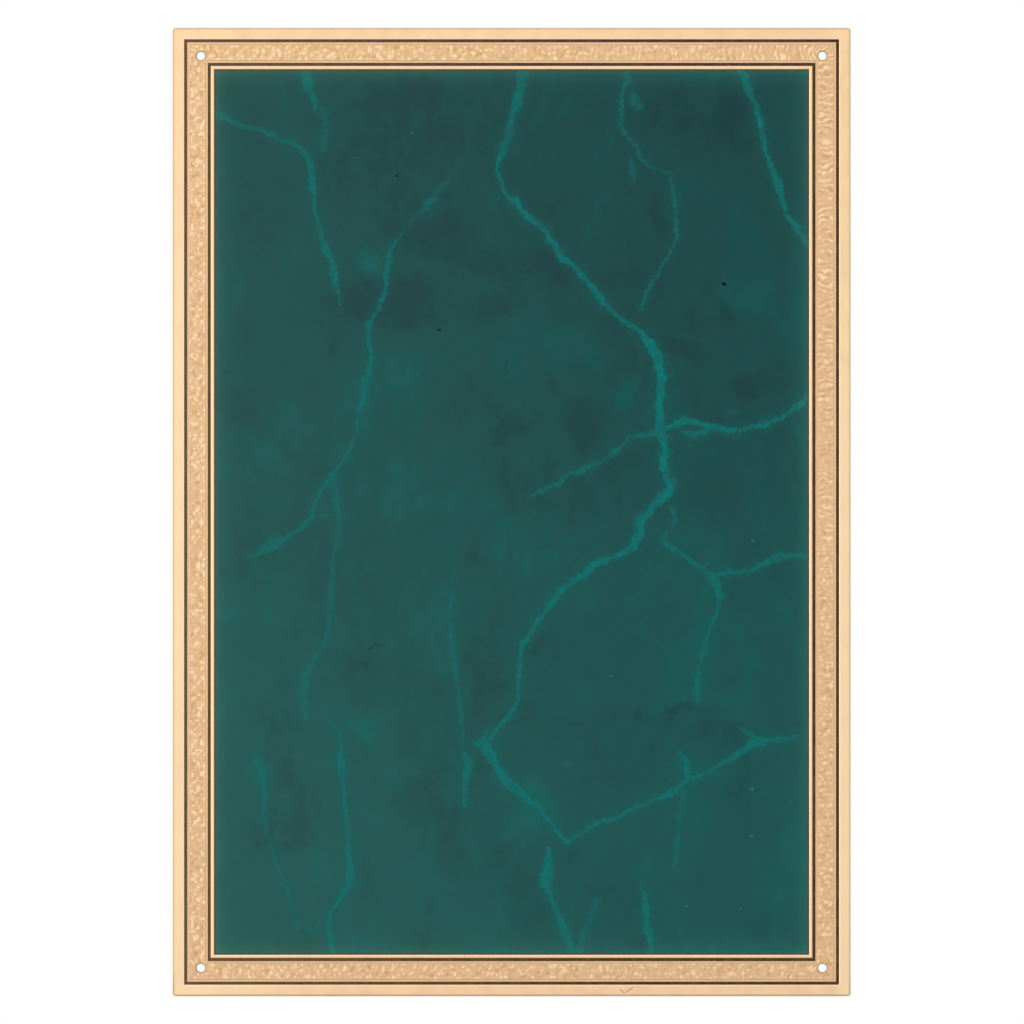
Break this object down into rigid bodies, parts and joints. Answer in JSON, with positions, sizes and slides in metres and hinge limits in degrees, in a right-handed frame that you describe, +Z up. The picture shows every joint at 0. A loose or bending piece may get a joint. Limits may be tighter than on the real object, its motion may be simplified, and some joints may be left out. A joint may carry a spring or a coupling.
{
  "type": "marble-effect plaque plate",
  "caption": "Thin upright gold-bordered wall plaque plate with a bare green marble-effect lacquer panel, a hammered border band and small corner fixing holes.",
  "frame": {"origin": "centre of the flat back face, where the plate lies on a wall or a backing board", "axes": "+Z up the plate's height, +Y through the back face into the wall, so the face looks along -Y, and +X to the right of someone reading the plate"},
  "size_m": [0.1778, 0.0008, 0.254],
  "materials": {
    "gold_brass": "satin gold, clear lacquered",
    "green_marble_lacquer": "high gloss green marble-effect lacquer with teal veins",
    "dark_line_enamel": "dark brown line enamel, satin"
  },
  "bodies": {
    "root": {"plaque_plate": "gold_brass"}
  },
  "joints": []
}
